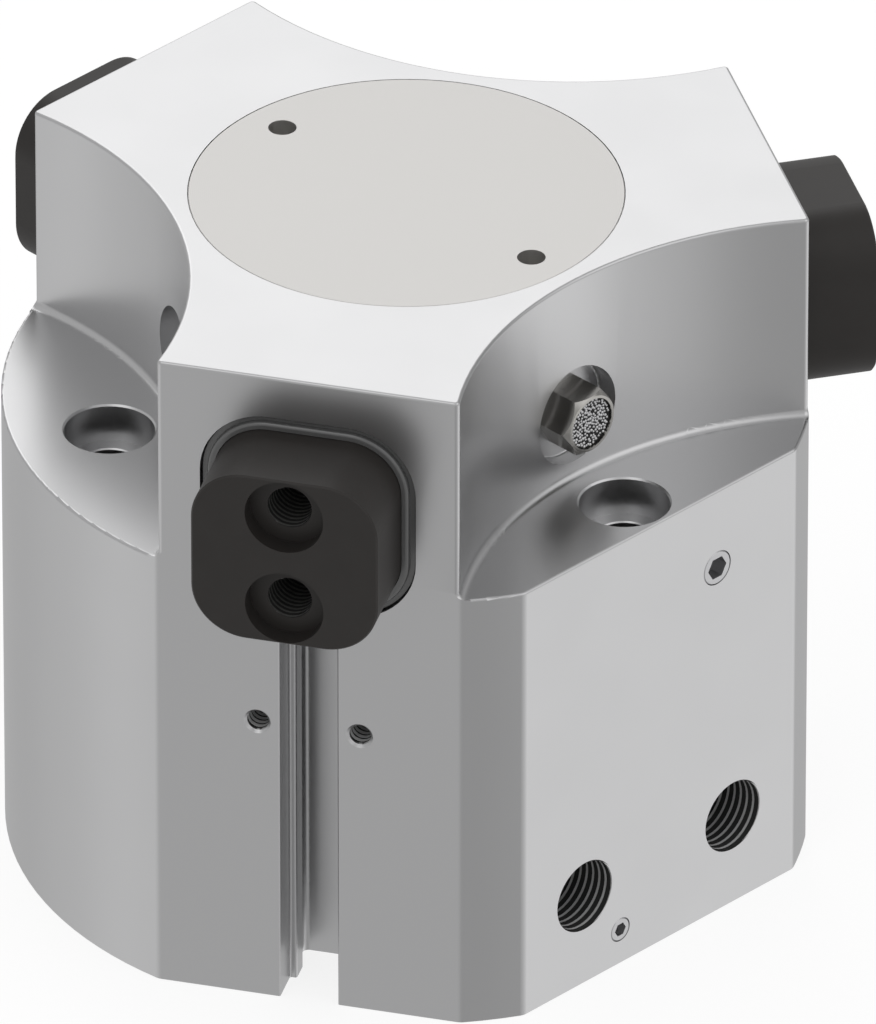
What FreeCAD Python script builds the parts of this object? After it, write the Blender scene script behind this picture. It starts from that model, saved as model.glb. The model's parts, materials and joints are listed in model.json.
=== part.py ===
import FreeCAD, Part
import math
import os

# Pneumatic three-jaw gripper, closed, standing on its mounting face.
# Millimetres; Z is the axis, with z = 0 on the mounting face.
# A piston below lifts a grooved head, three bell-crank levers turn the lift
# outwards, and three jaws slide out through the arms of the body.

Vector = FreeCAD.Vector
up = Vector(0, 0, 1)

# Body
body_diameter = 91.0
body_height = 81.3
arm_width = 35.0                # flat face on the end of each arm
arm_angles = (270, 30, 150)     # jaw 1 at the front, then 2 and 3
cut_angles = (330, 90, 210)     # the hollows between the arms
port_angle = 330                # the flat that carries the air ports
port_face_depth = 5.4           # how far that flat lies inside the diameter
cut_depth = 25.6                # from the top down to the ledges
cut_wall_behind_cover = 2.1
cut_root_radius = 0.85
ledge_rim_radius = 0.3
arm_corner_inset = 0.12
arm_corner_radius = 0.55
arm_corner_turn = 5.0           # degrees left between the rounded corner and the face
top_edge_radius = 0.35
side_corner_radius = 1.5

# Jaws and their passages
jaw_width = 21.4
jaw_height = 21.2
jaw_corner_radius = 6.25
jaw_below_top = 17.45           # jaw axis below the top face
jaw_reach = 10.0                # closed jaw, out from the arm face
jaw_stroke = 6.0
jaw_tip_gap = 2.0
jaw_edge_chamfer = 0.2
jaw_hole_spacing = 11.8
jaw_counterbore_diameter = 9.0
jaw_counterbore_depth = 2.3
jaw_thread_bore = 5.0           # M6
jaw_thread_depth = 13.0
guide_margin = 1.5              # how far the guide ribs stand out of the jaw's sides
guide_height = 8.0
guide_start = 6.0               # ribs start this far from the jaw's inner end
slide_clearance = 0.08

# Pocket in the arm face and the wiper frame in it
pocket_margin = 1.7
pocket_depth = 4.2
pocket_corner_radius = 8.0
frame_plate_depth = 2.0
frame_shoulder_depth = 0.6
frame_shoulder_width = 1.5
frame_lip_reach = 0.1           # lip's edge out of the arm face
frame_lip_width = 0.9
frame_lip_radius = 0.4
seat_clearance = 0.05

# Sensor slot and bracket holes in each arm face
slot_width = 6.7
slot_depth = 4.15
slot_neck_width = 5.1
slot_neck_depth = 6.75
slot_tee_width = 6.7
slot_tee_depth = 10.1
slot_edge_chamfer = 0.12
slot_step_radius = 0.25
slot_tee_radius = 0.7
slot_top = 50.8
bracket_hole_spacing = 11.8
bracket_hole_height = 36.05
bracket_hole_bore = 2.5         # M3
bracket_hole_depth = 6.0
small_chamfer = 0.3

# Mounting holes down from the ledges
mounting_circle = 68.8
mounting_hole = 6.6
mounting_counterbore = 10.2
mounting_counterbore_depth = 4.65
mounting_rim_chamfer = 0.2
mounting_hole_chamfer = 0.15

# Air ports and plugs on the port flat
port_bore = 8.57                # G1/8
port_depth = 9.0
port_height = 11.45
port_spacing = 23.6
air_hole = 3.0
air_hole_slanted = 2.4
duct_plug_side = 9.04
duct_plug_height = 45.55
duct_plug_diameter = 4.3
duct_plug_length = 6.0
duct_plug_socket = 2.5
duct_hole = 2.5
bleed_plug_side = -6.15
bleed_plug_height = 4.4
bleed_plug_diameter = 3.0
bleed_plug_length = 4.0
bleed_plug_socket = 1.5
bleed_hole_depth = 7.0
plug_clearance = 0.03

# Vent holes in the walls of the hollows
vent_angles = (330, 210)
vent_height = 63.7
vent_counterbore = 12.0
vent_counterbore_depth = 2.1
vent_floor_radius = 0.25
vent_bore = 5.0                 # M5
breather_across_flats = 7.0
breather_height = 4.8
breather_turn = 2.0
breather_rim_chamfer = 0.08
breather_disc_diameter = 6.2
breather_disc_recess = 0.35
breather_disc_height = 1.6
breather_passage = 2.4
vent_plug_socket = 2.5
vent_plug_length = 2.4

# Top cover
cover_diameter = 49.0
cover_thickness = 5.0
cover_spigot = 0.9
cover_hole_diameter = 3.2
cover_hole_circle = 39.4
cover_hole_depth = 3.2
cover_hole_angles = (150, 330)
cover_edge_chamfer = 0.1

# Air chamber, end cap and retaining ring
piston_diameter = 50.0
end_cap_thickness = 4.8
end_cap_step = 1.0
ring_groove_depth = 1.4
ring_thickness = 1.5
ring_width = 3.4
ring_gap_angle = 36.0
ring_lug_radius = 2.6
ring_lug_inset = 0.4            # ring's ends run this far past the lugs
ring_eye_radius = 1.0
ring_inset = 1.35               # ring's lower face above the mounting face
o_ring_section = 1.8

# Piston
piston_play = 0.1               # gap under the piston when closed
piston_top_gap = 0.5            # gap left over it when open
piston_clearance = 0.08
piston_seal_clearance = 0.1
piston_neck_depth = 1.6
piston_land = 9.0
piston_seal_width = 3.4
piston_seal_depth = 2.6
magnet_width = 5.0
magnet_step = 0.8
piston_web = 1.9
rod_screw_diameter = 5.0
rod_screw_head_diameter = 8.5
rod_screw_head_height = 5.0
rod_screw_thread = 10.0
rod_screw_socket = 4.0

# Piston rod and its guide
rod_diameter = 12.0
rod_clearance = 0.05
rod_spigot_diameter = 8.0
partition_thickness = 8.1
rod_bush_wall = 1.5
rod_bush_length = 3.4
rod_seal_wall = 3.0
rod_seal_width = 3.0
rod_seal_lip = 1.0

# Lever mechanism under the jaws
lever_arm = 8.5
lever_end_radius = 2.4
lever_eye_radius = 3.3
lever_thickness = 8.0
lever_web_at_eye = 2.3
lever_web_at_end = 1.4
lever_pivot_radius = 16.5
lever_pivot_below_jaw = 14.6    # pivot below the jaw axis
lever_pin_diameter = 4.0
pin_clearance = 0.05
lever_side_clearance = 0.1
lever_slot_clearance = 0.05     # lever end in the jaw notch
head_groove_clearance = 0.1     # lever end in the head groove
head_overlap = 1.65             # head beyond the centre of the lever end
head_flange = 1.6
head_neck_gap = 0.4
notch_flare = 4.2
notch_flare_height = 2.7
notch_roof_gap = 0.4
cavity_floor_below_pivot = 7.1
cavity_radius_over_eye = 0.7
bracket_above_pivot = 3.5
bracket_floor = 1.5
bracket_wall_clearance = 0.1
bracket_screw_circle = 31.0
bracket_screw_diameter = 3.0
bracket_screw_head_diameter = 5.5
bracket_screw_head_height = 3.0
bracket_screw_socket = 2.5
bracket_screw_thread = 5.5
screw_clearance = 0.2
thread_clearance = 0.02

# How far a cutting tool reaches past the face that it cuts
past = 1.0

# Sizes and places worked out from those above
body_radius = body_diameter / 2
arm_face = math.sqrt(body_radius ** 2 - (arm_width / 2) ** 2)
port_face = body_radius - port_face_depth
ledge_z = body_height - cut_depth
cover_radius = cover_diameter / 2
cover_floor_z = body_height - cover_thickness
cut_wall = cover_radius + cut_wall_behind_cover

jaw_z = body_height - jaw_below_top
jaw_front = arm_face + jaw_reach
jaw_inner_end = jaw_width / 2 / math.tan(math.radians(60)) + jaw_tip_gap
pocket_floor = arm_face - pocket_depth
guide_outer_end = pocket_floor - jaw_stroke - 3 * slide_clearance

pivot_z = jaw_z - lever_pivot_below_jaw
cavity_floor_z = pivot_z - cavity_floor_below_pivot
cavity_radius = lever_pivot_radius + lever_eye_radius + cavity_radius_over_eye
lever_pin_reach = math.sqrt((cavity_radius - bracket_wall_clearance) ** 2
                            - (lever_pivot_radius + lever_pin_diameter / 2) ** 2)
swing = math.asin(jaw_stroke / 2 / lever_arm)
notch_x = lever_pivot_radius - jaw_stroke / 2
groove_z = pivot_z - jaw_stroke / 2
groove_half = lever_end_radius + head_groove_clearance
head_radius = lever_pivot_radius - lever_arm * math.cos(swing) + head_overlap
head_neck_radius = lever_pivot_radius - lever_arm - lever_end_radius - head_neck_gap
head_top_z = groove_z + groove_half + head_flange
head_bottom_z = cavity_floor_z + head_flange / 5

chamber_radius = piston_diameter / 2
end_cap_radius = chamber_radius + end_cap_step
end_cap_z = ring_inset + ring_thickness + seat_clearance
chamber_floor_z = end_cap_z + end_cap_thickness
chamber_top_z = cavity_floor_z - partition_thickness
piston_z = chamber_floor_z + piston_play
piston_length = chamber_top_z - piston_top_gap - jaw_stroke - piston_z
piston_top_z = piston_z + piston_length
rod_radius = rod_diameter / 2
seal_groove_z = chamber_top_z + rod_seal_lip
vent_floor = cut_wall - vent_counterbore_depth
land_z = piston_z + (piston_length - piston_land) / 2
land_top_z = land_z + piston_land
magnet_z = land_top_z + magnet_step
piston_groove_z = (land_z + land_top_z - piston_seal_width) / 2
piston_groove_radius = chamber_radius - piston_seal_depth
piston_screw_seat_z = piston_z + rod_screw_head_height + 2 * screw_clearance


def polar(radius, angle, z=0.0):
    a = math.radians(angle)
    return Vector(radius * math.cos(a), radius * math.sin(a), z)


def turned(shape, angle):
    """A copy turned about the gripper's axis."""
    copy = shape.copy()
    copy.rotate(Vector(0, 0, 0), up, angle)
    return copy


def at_each(angles, shape):
    return [turned(shape, angle) for angle in angles]


def upright(radius, z0, z1, x=0.0, y=0.0):
    return Part.makeCylinder(radius, z1 - z0, Vector(x, y, z0), up)


def radial(radius, x0, x1, y, z):
    """A round bar along +X, from x0 to x1."""
    return Part.makeCylinder(radius, x1 - x0, Vector(x0, y, z), Vector(1, 0, 0))


def block(x0, x1, y0, y1, z0, z1):
    return Part.makeBox(x1 - x0, y1 - y0, z1 - z0, Vector(x0, y0, z0))


def tube(outer, inner, z0, z1):
    return upright(outer, z0, z1).cut(upright(inner, z0, z1))


def turned_profile(points):
    """A solid of revolution from (radius, z) corners."""
    corners = [Vector(r, 0, z) for r, z in points]
    face = Part.Face(Part.makePolygon(corners + corners[:1]))
    return face.revolve(Vector(0, 0, 0), up, 360)


def o_ring(outer_radius, z):
    """An O-ring whose round section is drawn with eight sides."""
    section = o_ring_section / 2
    angles = [math.radians(45 * k + 22.5) for k in range(8)]
    return turned_profile([(outer_radius - section + section * math.cos(a), z + section * math.sin(a))
                           for a in angles])


def hexagon(across_flats, x0, x1, y, z, turn=0.0):
    """A hexagonal bar along +X."""
    corner = across_flats / 2 / math.cos(math.radians(30))
    angles = [math.radians(60 * k + turn) for k in range(6)]
    points = [Vector(x0, y + corner * math.cos(a), z + corner * math.sin(a)) for a in angles]
    return Part.Face(Part.makePolygon(points + points[:1])).extrude(Vector(x1 - x0, 0, 0))


def rounded_face(corners):
    """A flat face in the XZ plane from (x, z, radius) corners, each turned at its radius."""
    points = [Vector(x, 0, z) for x, z, radius in corners]
    path = []
    for k, at in enumerate(points):
        radius = corners[k][2]
        if not radius:
            path.append(at)
            continue
        back = (points[k - 1] - at).normalize()
        on = (points[(k + 1) % len(points)] - at).normalize()
        half = back.getAngle(on) / 2
        reach = radius / math.tan(half)
        inwards = radius / math.sin(half) - radius
        path.append((at + back * reach, at + (back + on).normalize() * inwards, at + on * reach))
    edges = []
    for k, stop in enumerate(path):
        following = path[(k + 1) % len(path)]
        start = stop
        if isinstance(stop, tuple):
            edges.append(Part.Arc(*stop).toShape())
            start = stop[2]
        end = following[0] if isinstance(following, tuple) else following
        edges.append(Part.makeLine(start, end))
    return Part.Face(Part.Wire(edges))


def rounded_bar(half_width, half_height, corner, x0, x1):
    """A bar along +X on the jaw axis, with four rounded edges."""
    bar = block(x0, x1, -half_width, half_width, jaw_z - half_height, jaw_z + half_height)
    edges = [e for e in bar.Edges if abs(e.tangentAt(e.FirstParameter).x) > 0.9]
    return bar.makeFillet(corner, edges)


def jaw_section(margin, x0, x1):
    """The jaw's outline, grown by a margin all round."""
    return rounded_bar(jaw_width / 2 + margin, jaw_height / 2 + margin,
                       jaw_corner_radius + margin, x0, x1)


def pocket_section(margin, x0, x1):
    """The pocket's outline, at a margin round the jaw."""
    return rounded_bar(jaw_width / 2 + margin, jaw_height / 2 + margin,
                       pocket_corner_radius - pocket_margin + margin, x0, x1)


def tapped_hole(bore, depth, x_face, y, z, chamfer=0.0):
    """A blind hole that runs inwards from a face across +X."""
    radius = bore / 2
    hole = radial(radius, x_face - depth, x_face + past, y, z)
    if chamfer:
        mouth = Part.makeCone(radius + chamfer, radius, chamfer, Vector(x_face, y, z), Vector(-1, 0, 0))
        hole = hole.fuse(mouth)
    return hole


def edges_where(shape, test):
    return [e for e in shape.Edges if test(e)]


def middle(edge):
    return edge.valueAt((edge.FirstParameter + edge.LastParameter) / 2)


def side_cutter():
    """The tool that clears the hollow towards +X, down to the ledge.

    Its wall is one large arc. At each arm the arc turns over a small radius
    into the arm's end face, and its lower edge leaves the root fillet.
    """
    turn = math.radians(arm_corner_turn)
    normal = Vector(math.cos(math.radians(60)), math.sin(math.radians(60)), 0)
    along = Vector(normal.y, -normal.x, 0)
    corner = normal * arm_face + along * (arm_width / 2 - arm_corner_inset)
    centre_x = (corner.dot(corner) - cut_wall ** 2) / (2 * (corner.x - cut_wall))
    radius = centre_x - cut_wall
    centre = Vector(centre_x, 0, 0)

    depth = arm_face - arm_corner_radius * math.cos(turn)
    reach = math.sqrt((radius + arm_corner_radius) ** 2 - (centre.dot(normal) - depth) ** 2)
    pivot = normal * depth + along * (centre.dot(along) - reach)

    def around(direction):
        return pivot + direction * arm_corner_radius

    def slanted(angle):
        return normal * math.cos(angle) + along * math.sin(angle)

    on_wall = centre + (pivot - centre).normalize() * radius
    on_face = around(slanted(turn))
    wall_turn = math.acos(max(-1, min(1, (on_wall - pivot).normalize().dot(normal))))
    between = around(slanted((turn + wall_turn) / 2))
    run_out = on_face + (normal * math.sin(turn) - along * math.cos(turn)) * (2 * side_corner_radius)
    outside = run_out + normal * (body_radius / 4)
    far_x = body_diameter

    def mirrored(p):
        return Vector(p.x, -p.y, p.z)

    lower = [mirrored(p) for p in (run_out, outside, on_face, between, on_wall)]
    edges = [
        Part.makeLine(outside, run_out),
        Part.makeLine(run_out, on_face),
        Part.Arc(on_face, between, on_wall).toShape(),
        Part.Arc(on_wall, Vector(cut_wall, 0, 0), lower[4]).toShape(),
        Part.Arc(lower[4], lower[3], lower[2]).toShape(),
        Part.makeLine(lower[2], lower[0]),
        Part.makeLine(lower[0], lower[1]),
        Part.makeLine(lower[1], Vector(far_x, lower[1].y, 0)),
        Part.makeLine(Vector(far_x, lower[1].y, 0), Vector(far_x, outside.y, 0)),
        Part.makeLine(Vector(far_x, outside.y, 0), outside),
    ]
    face = Part.Face(Part.Wire(Part.__sortEdges__(edges)))
    tool = face.extrude(Vector(0, 0, cut_depth + past))
    tool.translate(Vector(0, 0, ledge_z))

    def on_lower_wall(edge):
        p = middle(edge)
        return abs(p.z - ledge_z) < 1e-6 and p.x < on_face.x + arm_corner_radius and abs(p.y) < run_out.y

    return tool.makeFillet(cut_root_radius, edges_where(tool, on_lower_wall))


def plain_blank(height):
    """The cylinder with its flats on the arms and the port side, up to a height."""
    blank = upright(body_radius, 0, height)
    for face_x, angle in [(arm_face, a) for a in arm_angles] + [(port_face, port_angle)]:
        side = block(face_x, body_diameter, -body_diameter, body_diameter, -past, height + past)
        blank = blank.cut(turned(side, angle))
    corners = edges_where(blank, lambda e: e.BoundBox.ZLength > height / 2
                          and e.BoundBox.XLength < 0.01 and e.BoundBox.YLength < 0.01)
    return blank.makeFillet(side_corner_radius, corners)


def ledge_rims():
    """What rounding the ledges' outer rims takes off, between the roots of the arms."""
    lower = plain_blank(ledge_z)
    rim = edges_where(lower, lambda e: abs(e.BoundBox.ZMin - ledge_z) < 1e-6)
    lower = lower.makeFillet(ledge_rim_radius, rim)
    corner_angle = math.radians(60) - math.asin(arm_width / 2 / body_radius)
    half = body_radius * math.sin(corner_angle) - 1.1 * cut_root_radius
    around = block(cut_wall, body_diameter, -half, half, ledge_z - ledge_rim_radius, ledge_z)
    return [turned(around, angle).cut(lower) for angle in cut_angles]


def body_blank():
    """The bare block: cylinder, flats, hollows and rounded edges."""
    blank = plain_blank(body_height)
    for tool in at_each(cut_angles, side_cutter()):
        blank = blank.cut(tool)
    rim = edges_where(blank, lambda e: abs(e.BoundBox.ZMin - body_height) < 1e-6)
    return blank.makeFillet(top_edge_radius, rim).cut(ledge_rims())


def slot_cuts():
    """The sensor slot: one rounded profile, drawn down the arm and turned over at the top."""
    mouth = slot_width / 2
    neck = slot_neck_width / 2
    tee = slot_tee_width / 2
    corners = [
        (body_radius, 0, 0),
        (body_radius, mouth + slot_edge_chamfer + body_radius - arm_face, 0),
        (arm_face - slot_edge_chamfer, mouth, 0),
        (arm_face - slot_depth, mouth, slot_step_radius),
        (arm_face - slot_depth, neck, slot_step_radius),
        (arm_face - slot_neck_depth, neck, slot_step_radius),
        (arm_face - slot_neck_depth, tee, slot_step_radius),
        (arm_face - slot_tee_depth, tee, slot_tee_radius),
        (arm_face - slot_tee_depth, 0, 0),
    ]
    half = rounded_face(corners)
    half.translate(Vector(0, 0, slot_top - mouth))
    outward = Vector(1, 0, 0)
    centre = Vector(0, 0, slot_top - mouth)
    sides = []
    for turn in (90, -90):
        side = half.copy()
        side.rotate(centre, outward, turn)
        sides.append(side.extrude(Vector(0, 0, mouth - slot_top - past)))
    half.rotate(centre, outward, -90)
    return sides + [half.revolve(centre, outward, 180)]


def arm_cuts():
    """One arm's cuts: jaw passage, guide grooves, pocket, sensor slot, bracket holes."""
    guide_half = guide_height / 2 + slide_clearance
    guide_reach = jaw_width / 2 + guide_margin + slide_clearance
    cuts = slot_cuts() + [
        jaw_section(slide_clearance, 0, body_radius),
        block(0, pocket_floor, -guide_reach, guide_reach, jaw_z - guide_half, jaw_z + guide_half),
        pocket_section(pocket_margin, pocket_floor, body_radius),
    ]
    for side in (-1, 1):
        cuts.append(tapped_hole(bracket_hole_bore, bracket_hole_depth, arm_face,
                                side * bracket_hole_spacing / 2, bracket_hole_height, small_chamfer))
    return cuts


def mounting_cuts():
    """One screw hole, from a ledge down through the body."""
    x = mounting_circle / 2
    seat_z = ledge_z - mounting_counterbore_depth
    radius = mounting_counterbore / 2
    cuts = [upright(mounting_hole / 2, -past, ledge_z, x), upright(radius, seat_z, ledge_z + past, x)]
    for inner, chamfer, z in ((radius, mounting_rim_chamfer, ledge_z),
                              (mounting_hole / 2, mounting_hole_chamfer, seat_z)):
        cuts.append(Part.makeCone(inner + chamfer, inner, chamfer, Vector(x, 0, z), Vector(0, 0, -1)))
    return cuts


def port_cuts():
    """The air ports, their ways into the chamber and the plugged holes, all in the port flat."""
    side = port_spacing / 2
    inner = port_face - port_depth
    cuts = [tapped_hole(port_bore, port_depth, port_face, s * side, port_height) for s in (-1, 1)]

    chamber_wall = math.sqrt(chamber_radius ** 2 - side ** 2)
    cuts.append(radial(air_hole / 2, chamber_wall - past, inner, -side, port_height))

    entry = Vector(port_face - port_depth / 4, side, port_height)
    target = Vector(chamber_wall - past, side, chamber_top_z - air_hole_slanted)
    run = target - entry
    cuts.append(Part.makeCylinder(air_hole_slanted / 2, run.Length, entry, run))

    duct_inner = port_face - duct_plug_length
    cuts.append(radial(duct_plug_diameter / 2, duct_inner, port_face + past,
                       duct_plug_side, duct_plug_height))
    cuts.append(radial(duct_hole / 2, cavity_radius / 2, duct_inner, duct_plug_side, duct_plug_height))
    cuts.append(tapped_hole(bleed_plug_diameter, bleed_hole_depth, port_face,
                            bleed_plug_side, bleed_plug_height))
    return cuts


def vent_cuts():
    """A screwed vent hole in the wall of a hollow, sunk in a round recess."""
    recess = radial(vent_counterbore / 2, vent_floor, body_radius, 0, vent_height)
    floor_edge = edges_where(recess, lambda e: abs(e.BoundBox.XMax - vent_floor) < 1e-6)
    return [
        recess.makeFillet(vent_floor_radius, floor_edge),
        radial(vent_bore / 2, cavity_radius / 2, vent_floor, 0, vent_height),
    ]


def axis_cuts():
    """Everything turned on the body's axis, from the cover seat down to the ring groove."""
    ring_top = ring_inset + ring_thickness + seat_clearance
    cuts = [
        upright(cover_radius, cover_floor_z, body_height + past),
        upright(cavity_radius, cavity_floor_z, cover_floor_z),
        upright(rod_radius + rod_bush_wall, cavity_floor_z - rod_bush_length, cavity_floor_z),
        upright(rod_radius + 4 * rod_clearance, chamber_top_z, cavity_floor_z),
        upright(rod_radius + rod_seal_wall, seal_groove_z, seal_groove_z + rod_seal_width),
        upright(chamber_radius, chamber_floor_z, chamber_top_z),
        upright(end_cap_radius, -past, chamber_floor_z),
        upright(end_cap_radius + ring_groove_depth, ring_inset - seat_clearance, ring_top),
    ]
    screw_hole = upright(bracket_screw_diameter / 2, cavity_floor_z - bracket_screw_thread,
                         cavity_floor_z, bracket_screw_circle / 2)
    return cuts + at_each(cut_angles, screw_hole)


def housing():
    tools = axis_cuts()
    for cut in arm_cuts():
        tools += at_each(arm_angles, cut)
    for cut in mounting_cuts():
        tools += at_each(cut_angles, cut)
    for cut in vent_cuts():
        tools += at_each(vent_angles, cut)
    tools += [turned(cut, port_angle) for cut in port_cuts()]
    return body_blank().cut(tools)


def top_cover():
    """The disc let into the top, turned in with a pin spanner."""
    radius = cover_radius - seat_clearance
    groove_z = cover_floor_z + o_ring_section / 2
    groove_inner = cover_radius - o_ring_section - thread_clearance
    cover = turned_profile([
        (0, cover_floor_z - cover_spigot),
        (cavity_radius - seat_clearance, cover_floor_z - cover_spigot),
        (cavity_radius - seat_clearance, cover_floor_z),
        (radius, cover_floor_z),
        (radius, groove_z),
        (groove_inner, groove_z),
        (groove_inner, groove_z + o_ring_section + seat_clearance),
        (radius, groove_z + o_ring_section + seat_clearance),
        (radius, body_height - cover_edge_chamfer),
        (radius - cover_edge_chamfer, body_height),
        (0, body_height),
    ])
    for angle in cover_hole_angles:
        centre = polar(cover_hole_circle / 2, angle)
        cover = cover.cut(upright(cover_hole_diameter / 2, body_height - cover_hole_depth,
                                  body_height + past, centre.x, centre.y))
    return cover


def cover_seal():
    middle_z = cover_floor_z + o_ring_section + seat_clearance / 2
    return o_ring(cover_radius - thread_clearance / 2, middle_z)


def end_cap():
    """The disc that closes the air chamber, with a groove for its O-ring."""
    radius = end_cap_radius - seat_clearance
    groove_z = chamber_floor_z - end_cap_thickness / 2 - o_ring_section / 2
    groove_inner = end_cap_radius - o_ring_section - thread_clearance
    return turned_profile([
        (0, end_cap_z),
        (radius - small_chamfer, end_cap_z),
        (radius, end_cap_z + small_chamfer),
        (radius, groove_z),
        (groove_inner, groove_z),
        (groove_inner, groove_z + o_ring_section + seat_clearance),
        (radius, groove_z + o_ring_section + seat_clearance),
        (radius, chamber_floor_z),
        (0, chamber_floor_z),
    ])


def end_cap_seal():
    middle_z = chamber_floor_z - end_cap_thickness / 2 + seat_clearance / 2
    return o_ring(end_cap_radius - thread_clearance / 2, middle_z)


def retaining_ring():
    """The sprung ring under the end cap, open at the back, with two eyes for pliers."""
    outer = end_cap_radius + ring_groove_depth - seat_clearance
    inner = outer - ring_width
    z1 = ring_inset + ring_thickness
    ring = tube(outer, inner, ring_inset, z1)
    half_gap = ring_gap_angle / 2
    gap_corners = [Vector(0, 0, 0)]
    gap_corners += [polar(body_radius, 90 + s * half_gap) for s in (-1, 1)]
    gap = Part.Face(Part.makePolygon(gap_corners + gap_corners[:1]))
    ring = ring.cut(gap.extrude(Vector(0, 0, 2 * z1)))
    lug_turn = half_gap + math.degrees((ring_lug_radius + ring_lug_inset) / inner)
    for side in (-1, 1):
        at = polar(inner, 90 + side * lug_turn)
        ring = ring.fuse(upright(ring_lug_radius, ring_inset, z1, at.x, at.y))
    for side in (-1, 1):
        at = polar(inner, 90 + side * lug_turn)
        ring = ring.cut(upright(ring_eye_radius, 0, 2 * z1, at.x, at.y))
    return ring


def rod_bush():
    return tube(rod_radius + rod_bush_wall, rod_radius + rod_clearance,
                cavity_floor_z - rod_bush_length, cavity_floor_z)


def lipped_seal(inner, outer, z0, z1, both_ends):
    """A rubber ring with a vee between its lips, at the pressure side or at both."""
    lip = (outer - inner) / 3
    depth = (z1 - z0) / 4
    mid = (inner + outer) / 2
    points = [(inner, z0), (inner + lip, z0), (mid, z0 + depth), (outer - lip, z0), (outer, z0)]
    points.append((outer, z1))
    if both_ends:
        points += [(outer - lip, z1), (mid, z1 - depth), (inner + lip, z1)]
    return turned_profile(points + [(inner, z1)])


def rod_seal():
    return lipped_seal(rod_radius + rod_clearance, rod_radius + rod_seal_wall - thread_clearance,
                       seal_groove_z + thread_clearance,
                       seal_groove_z + rod_seal_width - thread_clearance, both_ends=False)


def lever_bracket():
    """The slotted ring that carries the three lever pins over the partition."""
    z0 = cavity_floor_z
    z1 = pivot_z + bracket_above_pivot
    reach = cavity_radius + past
    half_slot = lever_thickness / 2 + lever_side_clearance
    ring = tube(cavity_radius - bracket_wall_clearance, head_radius + head_neck_gap, z0, z1)
    slot = block(0, reach, -half_slot, half_slot, z0 + bracket_floor, z1 + past)
    pin_start = Vector(lever_pivot_radius, -reach, pivot_z)
    pin_hole = Part.makeCylinder(lever_pin_diameter / 2, 2 * reach, pin_start, Vector(0, 1, 0))
    screw_x = bracket_screw_circle / 2
    seat_z = z1 - bracket_screw_head_height - screw_clearance
    tools = at_each(arm_angles, slot) + at_each(arm_angles, pin_hole)
    shank = upright(bracket_screw_diameter / 2 + screw_clearance, z0 - past, z1, screw_x)
    head = upright(bracket_screw_head_diameter / 2 + screw_clearance, seat_z, z1 + past, screw_x)
    tools += at_each(cut_angles, shank) + at_each(cut_angles, head)
    return ring.cut(tools)


def bracket_screw():
    x = bracket_screw_circle / 2
    seat_z = pivot_z + bracket_above_pivot - bracket_screw_head_height - screw_clearance
    tip_z = cavity_floor_z - bracket_screw_thread + screw_clearance
    top_z = seat_z + bracket_screw_head_height
    screw = upright(bracket_screw_diameter / 2 - thread_clearance, tip_z, seat_z, x)
    screw = screw.fuse(upright(bracket_screw_head_diameter / 2, seat_z, top_z, x))
    return screw.cut(upright_socket(bracket_screw_socket, top_z, bracket_screw_head_height / 2, x))


def upright_socket(across_flats, z_mouth, depth, x=0.0):
    """A hexagon socket that opens upwards; a negative depth opens downwards."""
    corner = across_flats / 2 / math.cos(math.radians(30))
    points = [Vector(x, 0, z_mouth) + polar(corner, 60 * k) for k in range(6)]
    return Part.Face(Part.makePolygon(points + points[:1])).extrude(Vector(0, 0, -depth))


def lever_pin():
    start = Vector(lever_pivot_radius, -lever_pin_reach, pivot_z)
    return Part.makeCylinder(lever_pin_diameter / 2, 2 * lever_pin_reach, start, Vector(0, 1, 0))


def lever():
    """A bell crank: one round end up in the jaw's notch, the other in the head's groove."""
    y0 = -lever_thickness / 2
    pivot = Vector(lever_pivot_radius, y0, pivot_z)
    across = Vector(0, 1, 0)
    thick = Vector(0, lever_thickness, 0)
    to_jaw = Vector(-math.sin(swing), 0, math.cos(swing))
    to_head = Vector(-math.cos(swing), 0, -math.sin(swing))
    crank = Part.makeCylinder(lever_eye_radius, lever_thickness, pivot, across)
    for direction in (to_jaw, to_head):
        end = pivot + direction * lever_arm
        side = direction.cross(across)
        corners = [
            pivot + side * lever_web_at_eye,
            end + side * lever_web_at_end,
            end - side * lever_web_at_end,
            pivot - side * lever_web_at_eye,
        ]
        web = Part.Face(Part.makePolygon(corners + corners[:1])).extrude(thick)
        crank = crank.fuse([web, Part.makeCylinder(lever_end_radius, lever_thickness, end, across)])
    bore = Part.makeCylinder(lever_pin_diameter / 2 + pin_clearance, lever_thickness, pivot, across)
    return crank.cut(bore)


def jaw():
    """A gripper jaw: rounded bar, guide ribs, lever notch below, two screw holes in front."""
    half = jaw_width / 2
    bottom = jaw_z - jaw_height / 2
    bar = jaw_section(0, jaw_inner_end, jaw_front)
    rim = edges_where(bar, lambda e: abs(e.BoundBox.XMin - jaw_front) < 1e-6)
    bar = bar.makeChamfer(jaw_edge_chamfer, rim)
    ribs = block(jaw_inner_end + guide_start, guide_outer_end, -half - guide_margin, half + guide_margin,
                 jaw_z - guide_height / 2, jaw_z + guide_height / 2)
    notch_half = lever_end_radius + lever_slot_clearance
    notch_side = lever_thickness / 2 + 2 * lever_side_clearance
    notch_roof = pivot_z + lever_arm + lever_end_radius + notch_roof_gap
    tools = [
        block(notch_x - notch_half, notch_x + notch_half, -notch_side, notch_side,
              bottom - past, notch_roof),
        block(0, notch_x + notch_flare, -half - past, half + past, bottom - past,
              bottom + notch_flare_height),
    ]
    for side in (-1, 1):
        z = jaw_z + side * jaw_hole_spacing / 2
        tools.append(tapped_hole(jaw_thread_bore, jaw_thread_depth, jaw_front, 0, z))
        tools.append(radial(jaw_counterbore_diameter / 2, jaw_front - jaw_counterbore_depth,
                            jaw_front + past, 0, z))
    return bar.fuse(ribs).cut(tools)


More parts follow.
